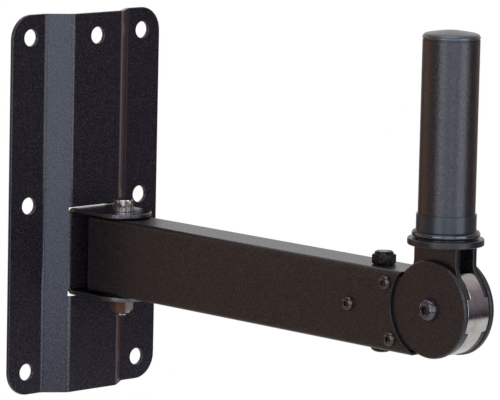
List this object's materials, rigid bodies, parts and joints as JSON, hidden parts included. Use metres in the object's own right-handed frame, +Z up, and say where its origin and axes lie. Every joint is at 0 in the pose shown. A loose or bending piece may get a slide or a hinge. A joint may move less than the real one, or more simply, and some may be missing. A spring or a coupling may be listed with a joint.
{
  "type": "speaker wall bracket",
  "caption": "Folded steel wall plate with a level rectangular arm that swivels on it, and a tilting upright spigot at the arm's end that carries a loudspeaker.",
  "frame": {"origin": "centre of the four corner wall holes, on the wall plane", "axes": "+X straight out from the wall along the arm, +Y across the wall plate, +Z up along the spigot"},
  "size_m": [0.3605, 0.128, 0.2672],
  "materials": {
    "powder_coat": "satin, finely textured",
    "black_oxide": "oiled black oxide, semi-gloss",
    "bare_steel": "turned and ground",
    "plated_steel": "zinc plated",
    "black_plastic": "matt",
    "nylon": "smooth"
  },
  "bodies": {
    "wall": {"wall_plate": "powder_coat", "hinge_bracket": "powder_coat", "swivel_bolt": "black_oxide", "swivel_nut": "black_oxide"},
    "arm": {"arm_tube": "powder_coat", "swivel_sleeve": "plated_steel", "upper_washer": "nylon", "lower_washer": "nylon", "cheek_left": "powder_coat", "cheek_right": "powder_coat", "cheek_screws_left": "black_oxide", "cheek_screws_right": "black_oxide", "spacer_block": "plated_steel", "clamp_bolt": "black_oxide", "clamp_nut": "black_oxide", "tilt_screw": "black_oxide", "tilt_nut": "black_oxide"},
    "head": {"fork_plate_left": "powder_coat", "fork_plate_right": "powder_coat", "neck_block": "powder_coat", "tilt_drum": "bare_steel", "base_ring": "powder_coat", "spigot_tube": "powder_coat", "adapter_bush": "black_plastic", "spigot_cap": "black_plastic"}
  },
  "joints": [
    {"name": "arm_swivel", "type": "hinge", "parent": "wall", "child": "arm", "pos_m": [0.0405, 0, -0.0314], "axis": [0, 0, 1], "range_deg": [-90, 90]},
    {"name": "head_tilt", "type": "hinge", "parent": "arm", "child": "head", "pos_m": [0.3305, 0, -0.0264], "axis": [0, 1, 0], "range_deg": [-10, 30]}
  ]
}
